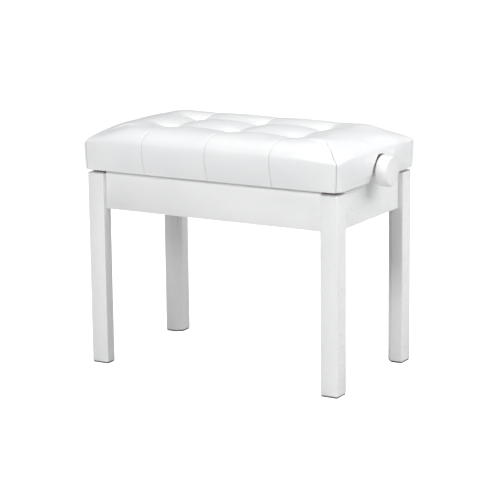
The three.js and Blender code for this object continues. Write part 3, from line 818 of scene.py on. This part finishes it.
def cut_arches(piece):
    """Opens the piece at both arches."""
    for sign in (-1, 1):
        outline = arch_outline(ARCH_RADIUS, BOTTOM - ARCH_CUT[1])
        x0, x1 = sign * (board_x - ARCH_CUT[0]), sign * (board_x + ARCH_CUT[0])
        points = [(x, y, z) for x in (x0, x1) for y, z in outline]
        n = len(outline)
        sides = [(i, (i + 1) % n, (i + 1) % n + n, i + n) for i in range(n)]
        cutter = mesh_object("cutter", points, [tuple(range(n)), tuple(range(n, 2 * n)), *sides], LEATHERETTE)
        face_outward(cutter.data)
        cut = piece.modifiers.new("arch", "BOOLEAN")
        cut.object = cutter
        cut.operation = "DIFFERENCE"
        cut.solver = "EXACT"
        bake(piece)
        bpy.data.objects.remove(cutter)


def make_cover(fine, points, sewn):
    """The sewn leatherette cover, open at the arches round the knobs' hubs."""
    cover = mesh_object("seat_cover", points, fine.faces().tolist(), LEATHERETTE)
    # The seam attribute carries the painted shade along the seams to the cover's colour.
    mark = cover.data.attributes.new("seam", "FLOAT", "POINT")
    mark.data.foreach_set("value", sewn.astype(np.float32))
    shell = cover.modifiers.new("thickness", "SOLIDIFY")
    shell.thickness = COVER_THICKNESS
    shell.offset = -1
    bake(cover)
    cut_arches(cover)
    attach(cover, "seat")
    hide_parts("cover_top", "cover_front", "cover_rear", "cover_left", "cover_right")


def make_arch_edging(end, sign, fine, points):
    """The strip of leatherette turned in over the edge of an arch."""
    patch = points[fine.ends[sign].ravel()]
    outline = arch_outline(ARCH_RADIUS, BOTTOM + 0.0008, 60)
    rings = []
    for i, (y, z) in enumerate(outline):
        before, after = outline[max(i - 1, 0)], outline[min(i + 1, len(outline) - 1)]
        along = Vector((after[0] - before[0], after[1] - before[1])).normalized()
        away = (along.y, -along.x)
        reach = np.hypot(patch[:, 1] - y, patch[:, 2] - z)
        closest = np.argsort(reach)[:4]
        face = np.average(np.abs(patch[closest, 0]), weights=1 / (reach[closest] + 1e-5))
        inside = board_x - EDGING_DEPTH
        section = [(inside, -0.0007), (face - 0.0022, -0.0007), (face - 0.0006, -0.0005),
                   (face + 0.0003, 0.0003), (face + 0.0005, 0.0012), (face + 0.0002, 0.0020),
                   (face - 0.0006, 0.0020), (face - 0.0006, 0.0010), (face - 0.0022, 0.0000), (inside, 0.0)]
        rings.append([(sign * x, y + away[0] * r, z + away[1] * r) for x, r in section])
    n = len(rings[0])
    faces = []
    for i in range(len(rings) - 1):
        here, there = i * n, (i + 1) * n
        faces += [(here + k, here + (k + 1) % n, there + (k + 1) % n, there + k) for k in range(n)]
    faces += [tuple(range(n)), tuple((len(rings) - 1) * n + k for k in reversed(range(n)))]
    edging = mesh_object(f"arch_edging_{end}", [p for ring in rings for p in ring], faces, LEATHERETTE)
    face_outward(edging.data)
    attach(edging, "seat")


def lathe(name, profile, origin, axis, material, steps=96):
    """A closed solid turned about an axis.

    The profile is distance along the axis and radius, from pole to pole."""
    along = Vector(axis).normalized()
    side = along.orthogonal().normalized()
    other = along.cross(side)
    points, faces, ring_starts = [], [], []
    for distance, radius in profile:
        ring_starts.append(len(points))
        turns = [0.0] if radius == 0 else np.linspace(0, 2 * math.pi, steps, endpoint=False)
        for t in turns:
            spoke = float(radius) * (math.cos(t) * side + math.sin(t) * other)
            points.append(Vector(origin) + along * float(distance) + spoke)
    for i in range(len(profile) - 1):
        a, b = ring_starts[i], ring_starts[i + 1]
        for k in range(steps):
            m = (k + 1) % steps
            if profile[i][1] == 0:
                faces.append((a, b + m, b + k))
            elif profile[i + 1][1] == 0:
                faces.append((a + k, a + m, b))
            else:
                faces.append((a + k, a + m, b + m, b + k))
    return mesh_object(name, points, faces, material)


def make_tuft_buttons():
    """A small covered button sunk in each tuft."""
    radius, height = 0.0062, 0.0028
    for row, y in zip(("front", "rear"), SEAM_Y):
        for place, x in zip(("left", "middle", "right"), SEAM_X):
            spot = np.array([[x, y, 0.0]])
            z = middle(x, y) + relief(spot)[0]
            turns = np.linspace(math.pi / 2, 0, 7)
            dome = [(height * math.sin(t), radius * math.cos(t)) for t in turns]
            profile = [(dome[0][0], 0.0), *dome[1:], (-0.0012, radius * 0.9), (-0.0016, 0.0)]
            button = lathe(f"tuft_button_{row}_{place}", profile[::-1], (x, y, z), (0, 0, 1), LEATHERETTE, 36)
            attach(button, "seat")


def make_foam_core(coarse, swell):
    """The padding between the cover and the boards, on top of the seat board and down its skirt."""
    grid = cover_grid(FOAM_STEP, (), ())
    quads = grid.faces()
    outer = grid.base()
    ring = grid.ring_of()
    away = normals(outer, quads)
    outer = outer + away * (relief(outer) * (ring < 1) - COVER_THICKNESS - FOAM_GAP)[:, None]
    outer = outer + resampled(swell, coarse, grid)
    kept = ring <= FOAM_RING
    level = seat_board_top + FIT
    limit_x, limit_y = board_x + FIT, board_y + FIT
    inner = outer.copy()
    inner[:, 2] = np.where(ring < RING_SHOULDER, level, np.minimum(outer[:, 2], level))
    inner[:, 0] = np.clip(inner[:, 0], -limit_x, limit_x)
    inner[:, 1] = np.clip(inner[:, 1], -limit_y, limit_y)
    outer[:, 2] = np.where(ring < RING_SHOULDER, np.maximum(outer[:, 2], level + FOAM_LEAST), outer[:, 2])
    mesh = bmesh.new()
    tops = [mesh.verts.new(p) if keep else None for p, keep in zip(outer, kept)]
    unders = [mesh.verts.new(p) if keep else None for p, keep in zip(inner, kept)]
    edges = {}
    for quad in quads:
        if all(kept[v] for v in quad):
            mesh.faces.new([tops[v] for v in quad])
            mesh.faces.new([unders[v] for v in quad[::-1]])
            for a, b in zip(quad, np.roll(quad, -1)):
                edges[(a, b)] = edges.get((a, b), 0) + 1
    for a, b in edges:
        if (b, a) not in edges:
            mesh.faces.new([tops[b], tops[a], unders[a], unders[b]])
    data = bpy.data.meshes.new("foam_core")
    mesh.to_mesh(data)
    mesh.free()
    data.materials.append(FOAM)
    data.shade_smooth()
    core = bpy.data.objects.new("foam_core", data)
    scene.collection.objects.link(core)
    cut_arches(core)
    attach(core, "seat")
    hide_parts("foam_pad")


def make_cushion():
    """All the soft pieces of the seat."""
    fine = cover_grid(COVER_STEP, SEAM_LINES, CORNER_LINES)
    quads = fine.faces()
    ring, ends = fine.ring_of(), fine.is_end()
    points = fine.base()
    points = points + normals(points, quads) * (relief(points) * (ring < 1))[:, None]
    coarse = cover_grid(CLOTH_STEP, (), ())
    swell = stuffing_swell(coarse)
    points = points + resampled(swell, coarse, fine)
    # Painted shade along the seams, for the cover's colour.
    sewn = painted_seam_shade(points, ring, ends)
    points = points + normals(points, quads) * seams(points, ring, ends)[:, None]
    make_cover(fine, points, sewn)
    for end, sign in (("left", -1), ("right", 1)):
        make_arch_edging(end, sign, fine, points)
    make_tuft_buttons()
    make_foam_core(coarse, swell)


make_cushion()

# ---- Knobs ----


def make_knob(end, sign):
    """A moulded grip with a rounded rim and a faint dome, and the hub behind it."""
    low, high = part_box(f"knob_{end}")
    near, far = (low.x, high.x) if sign > 0 else (-high.x, -low.x)
    radius = (high.z - low.z) / 2
    centre_z = (high.z + low.z) / 2
    hub_radius, back = 0.012, KNOB_BACK * (far - near) + near
    hub_edge, fillet, back_edge = 0.0008, 0.001, 0.0016
    rim, dome = 0.0052, 0.0012
    turns = np.linspace(0, math.pi / 2, 9)
    profile = [(near, 0.0), (near, hub_radius - hub_edge), (near + hub_edge, hub_radius),
               (back - fillet, hub_radius), (back, hub_radius + fillet), (back, radius - 0.0022)]
    profile += [(back + back_edge * (1 - math.cos(t)), radius - back_edge * (1 - math.sin(t)))
                for t in turns[1:]]
    profile += [(far - dome - rim * (1 - math.sin(t)), radius - rim * (1 - math.cos(t))) for t in turns]
    face = radius - rim
    profile += [(far - dome * (r / face) ** 2, r) for r in np.linspace(face, 0, 8)[1:-1]] + [(far, 0.0)]
    knob = lathe(f"grip_{end}", profile, (0, 0, centre_z), (sign, 0, 0), PLASTIC, 128)
    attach(knob, "screw")
    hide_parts(f"knob_{end}")


for knob_end, knob_sign in (("left", -1), ("right", 1)):
    make_knob(knob_end, knob_sign)

# ---- Studio ----


def area_light(name, place, aim, size, power):
    data = bpy.data.lights.new(name, "AREA")
    data.shape = "RECTANGLE"
    data.size, data.size_y = size
    data.energy = power
    light = bpy.data.objects.new(name, data)
    light.location = place
    light.rotation_euler = (Vector(aim) - Vector(place)).to_track_quat("-Z", "Y").to_euler()
    scene.collection.objects.link(light)


def mixed_for_camera(nodes, links, seen, other, out):
    """Shows the camera one shader and lights the object by another."""
    rays = nodes.new("ShaderNodeLightPath")
    mix = nodes.new("ShaderNodeMixShader")
    links.new(rays.outputs["Is Camera Ray"], mix.inputs["Fac"])
    links.new(other, mix.inputs[1])
    links.new(seen, mix.inputs[2])
    links.new(mix.outputs["Shader"], out.inputs["Surface"])


def make_surround():
    """An even white surround, dim as a light and bright as a background."""
    world = bpy.data.worlds.new("surround")
    scene.world = world
    world.use_nodes = True
    nodes, links = world.node_tree.nodes, world.node_tree.links
    nodes.clear()
    fill = nodes.new("ShaderNodeBackground")
    fill.inputs["Strength"].default_value = 0.17
    fill.inputs["Color"].default_value = (0.94, 0.97, 1.0, 1)
    seen = nodes.new("ShaderNodeBackground")
    seen.inputs["Strength"].default_value = 1.0
    seen.inputs["Color"].default_value = (1, 1, 1, 1)
    out = nodes.new("ShaderNodeOutputWorld")
    mixed_for_camera(nodes, links, seen.outputs["Background"], fill.outputs["Background"], out)


def make_floor():
    """A wide pale floor that the camera sees as nearly white."""
    half = 8.0
    mesh = bpy.data.meshes.new("floor")
    corners = [(-half, -half, 0), (half, -half, 0), (half, half, 0), (-half, half, 0)]
    mesh.from_pydata(corners, [], [(0, 1, 2, 3)])
    floor = bpy.data.objects.new("floor", mesh)
    scene.collection.objects.link(floor)
    material = bpy.data.materials.new("pale_floor")
    material.use_nodes = True
    nodes, links = material.node_tree.nodes, material.node_tree.links
    pale = nodes["Principled BSDF"]
    pale.inputs["Base Color"].default_value = (0.62, 0.62, 0.62, 1)
    pale.inputs["Roughness"].default_value = 0.9
    glow = nodes.new("ShaderNodeEmission")
    glow.inputs["Strength"].default_value = 0.94
    glow.inputs["Color"].default_value = (1, 1, 1, 1)
    bright = nodes.new("ShaderNodeAddShader")
    links.new(pale.outputs["BSDF"], bright.inputs[0])
    links.new(glow.outputs["Emission"], bright.inputs[1])
    mixed_for_camera(nodes, links, bright.outputs["Shader"], pale.outputs["BSDF"], nodes["Material Output"])
    mesh.materials.append(material)


def make_studio():
    """A pale floor, a white surround and four large soft boxes."""
    scene.view_settings.view_transform = "Standard"
    make_surround()
    make_floor()
    aim = (0, 0, 0.3)
    area_light("front_box", (-0.2, -3.1, 2.0), aim, (1.5, 1.0), 65)
    area_light("right_box", (2.9, -0.3, 2.6), aim, (2.0, 1.8), 54)
    area_light("right_rear_box", (2.4, 1.8, 2.2), aim, (1.6, 1.6), 36)
    area_light("top_box", (0.2, 0.2, 3.4), aim, (2.4, 2.2), 32)


make_studio()
